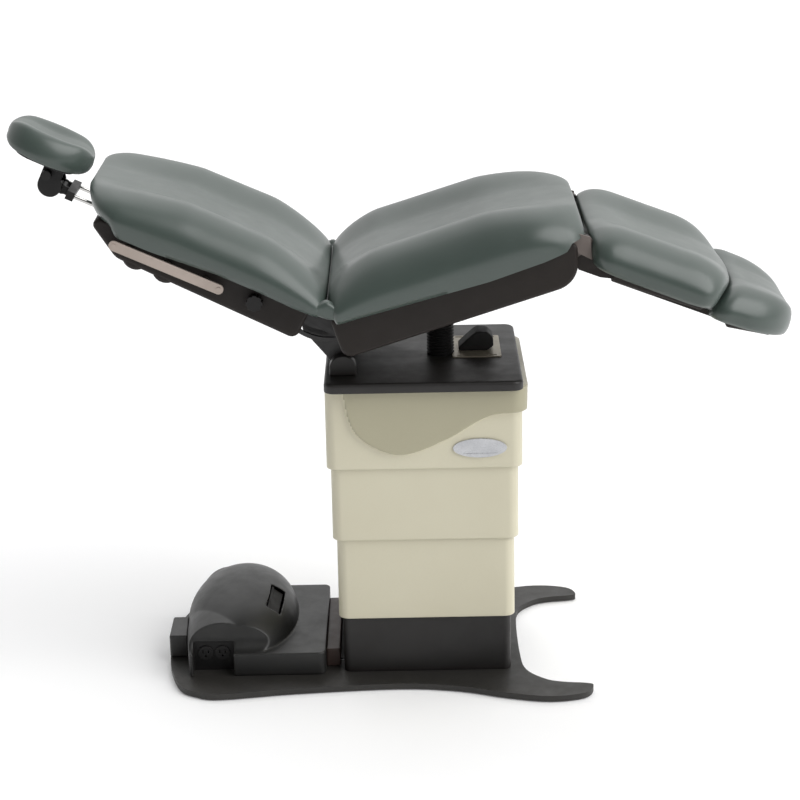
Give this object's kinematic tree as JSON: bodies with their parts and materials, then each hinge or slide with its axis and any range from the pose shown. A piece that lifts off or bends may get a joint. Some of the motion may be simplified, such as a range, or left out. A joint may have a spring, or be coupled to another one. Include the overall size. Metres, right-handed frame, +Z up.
{
  "type": "powered procedure chair",
  "caption": "Powered procedure chair with adjustable seat, back, foot section and headrest on a covered telescoping lift column.",
  "frame": {"origin": "on the floor, on the centre line of the lift column", "axes": "+X towards the foot end, +Y across the chair, +Z up; the person lies along X with the head at -X"},
  "size_m": [1.744, 0.644, 1.2863],
  "materials": {
    "upholstery": "soft sheen vinyl",
    "cream_cover": "satin moulded",
    "black_plastic": "fine texture",
    "shell_plastic": "fine texture",
    "base_paint": "satin powder coat",
    "black_paint": "satin powder coat",
    "frame_paint": "satin powder coat",
    "steel": "brushed",
    "chrome": "polished",
    "rail_metal": "satin anodised",
    "rubber": "matte",
    "badge_metal": "brushed"
  },
  "bodies": {
    "base": {"base_plate": "base_paint", "floor_pads": "rubber", "base_cover": "shell_plastic", "column_fixed": "steel", "lift_cylinder": "black_paint", "pump_cover": "black_plastic", "pump_motor": "frame_paint", "oil_reservoir": "black_plastic", "valve_block": "rail_metal", "pressure_pipe": "steel", "outlet_panel": "black_plastic", "inlet_box": "black_plastic", "wire_channel": "shell_plastic"},
    "port_flap_body": {"port_flap": "rubber"},
    "lower_stage": {"column_lower": "steel", "cover_lower": "cream_cover", "ram_lower": "chrome"},
    "middle_stage": {"column_middle": "steel", "cover_middle": "cream_cover", "ram_middle": "chrome"},
    "carriage": {"column_top": "steel", "cover_top": "cream_cover", "ram_top": "chrome", "top_plate": "black_paint", "badge_plate": "badge_metal", "pivot_blocks": "black_paint", "slot_plate": "rail_metal", "seat_bumper": "rubber", "tilt_cylinder": "black_paint", "tilt_bellows": "rubber"},
    "tilt_rod": {"tilt_ram": "chrome", "tilt_roller": "steel"},
    "seat": {"seat_frame": "frame_paint", "seat_shell": "shell_plastic", "seat_cushion": "upholstery", "hip_gusset": "upholstery", "tilt_shaft": "steel", "arc_plates": "steel", "back_cylinder": "black_paint", "foot_cylinder": "black_paint", "knee_brackets": "rail_metal"},
    "back_rod": {"back_ram": "chrome"},
    "foot_rod": {"foot_ram": "chrome"},
    "back": {"back_frame": "frame_paint", "back_shell": "shell_plastic", "back_cushion": "upholstery", "arc_rollers": "steel", "side_rails": "rail_metal"},
    "near_clamp": {"clamp_knob_near": "black_plastic"},
    "far_clamp": {"clamp_knob_far": "black_plastic"},
    "head_slider": {"head_rods": "chrome"},
    "head_knuckle": {"head_link": "black_paint"},
    "headrest": {"head_bracket": "black_paint", "head_cushion": "upholstery"},
    "head_lock": {"head_knob": "black_plastic"},
    "foot": {"foot_frame": "black_paint", "foot_cushion": "upholstery", "knee_pins": "steel"},
    "foot_extension": {"toe_tray": "frame_paint", "toe_cushion": "upholstery"}
  },
  "joints": [
    {"name": "lift", "type": "slide", "parent": "base", "child": "carriage", "axis": [0, 0, 1], "range_m": [-0.4, 0.09]},
    {"name": "lift_middle_stage", "type": "slide", "parent": "base", "child": "middle_stage", "axis": [0, 0, 1], "range_m": [-0.268, 0.062]},
    {"name": "lift_lower_stage", "type": "slide", "parent": "base", "child": "lower_stage", "axis": [0, 0, 1], "range_m": [-0.134, 0.032]},
    {"name": "seat_tilt", "type": "hinge", "parent": "carriage", "child": "seat", "pos_m": [-0.178, 0, 0.748], "axis": [0, -1, 0], "range_deg": [-17.5, 2.5], "deforming": ["tilt_bellows"]},
    {"name": "tilt_ram_slide", "type": "slide", "parent": "carriage", "child": "tilt_rod", "axis": [0, 0, 1], "range_m": [-0.078, 0.0125]},
    {"name": "back_recline", "type": "hinge", "parent": "seat", "child": "back", "pos_m": [-0.205, 0, 0.932], "axis": [0, 1, 0], "range_deg": [-42, 43], "deforming": ["hip_gusset"]},
    {"name": "back_ram_slide", "type": "slide", "parent": "seat", "child": "back_rod", "axis": [0.9537, 0, 0.3007], "range_m": [-0.082, 0.0805]},
    {"name": "foot_fold", "type": "hinge", "parent": "seat", "child": "foot", "pos_m": [0.35525, 0, 1.03735], "axis": [0, 1, 0], "range_deg": [-38.5, 36.5]},
    {"name": "foot_ram_slide", "type": "slide", "parent": "seat", "child": "foot_rod", "axis": [0.9537, 0, 0.3007], "range_m": [-0.0395, 0.0415]},
    {"name": "foot_extension_slide", "type": "slide", "parent": "foot", "child": "foot_extension", "axis": [0.9336, 0, -0.3584], "range_m": [0, 0.2]},
    {"name": "headrest_slide", "type": "slide", "parent": "back", "child": "head_slider", "axis": [-0.91, 0, 0.4147], "range_m": [0, 0.12]},
    {"name": "headrest_lower_knuckle", "type": "hinge", "parent": "head_slider", "child": "head_knuckle", "pos_m": [-0.79546, 0, 1.13625], "axis": [0, 1, 0], "range_deg": [-35, 5]},
    {"name": "headrest_upper_knuckle", "type": "hinge", "parent": "head_knuckle", "child": "headrest", "pos_m": [-0.82094, 0, 1.14786], "axis": [0, 1, 0], "range_deg": [-35, 10]},
    {"name": "headrest_lock_turn", "type": "hinge", "parent": "headrest", "child": "head_lock", "pos_m": [-0.82433, -0.05, 1.17372], "axis": [0, 1, 0], "range_deg": [0, 180]},
    {"name": "near_clamp_turn", "type": "hinge", "parent": "back", "child": "near_clamp", "pos_m": [-0.36233, -0.25, 0.92677], "axis": [0, 1, 0], "continuous": true},
    {"name": "far_clamp_turn", "type": "hinge", "parent": "back", "child": "far_clamp", "pos_m": [-0.36233, 0.25, 0.92677], "axis": [0, 1, 0], "continuous": true},
    {"name": "port_flap_hinge", "type": "hinge", "parent": "base", "child": "port_flap_body", "pos_m": [-0.36858, -0.01998, 0.13869], "axis": [-0.062, -0.9942, -0.0885], "range_deg": [0, 100]}
  ],
  "couplings": [
    {"joint": "lift_middle_stage", "follows": "lift", "ratio": 0.66667},
    {"joint": "lift_lower_stage", "follows": "lift", "ratio": 0.33333},
    {"joint": "tilt_ram_slide", "follows": "seat_tilt", "m_per_rad": 0.2492},
    {"joint": "back_ram_slide", "follows": "back_recline", "m_per_rad": -0.108},
    {"joint": "foot_ram_slide", "follows": "foot_fold", "m_per_rad": -0.06}
  ]
}
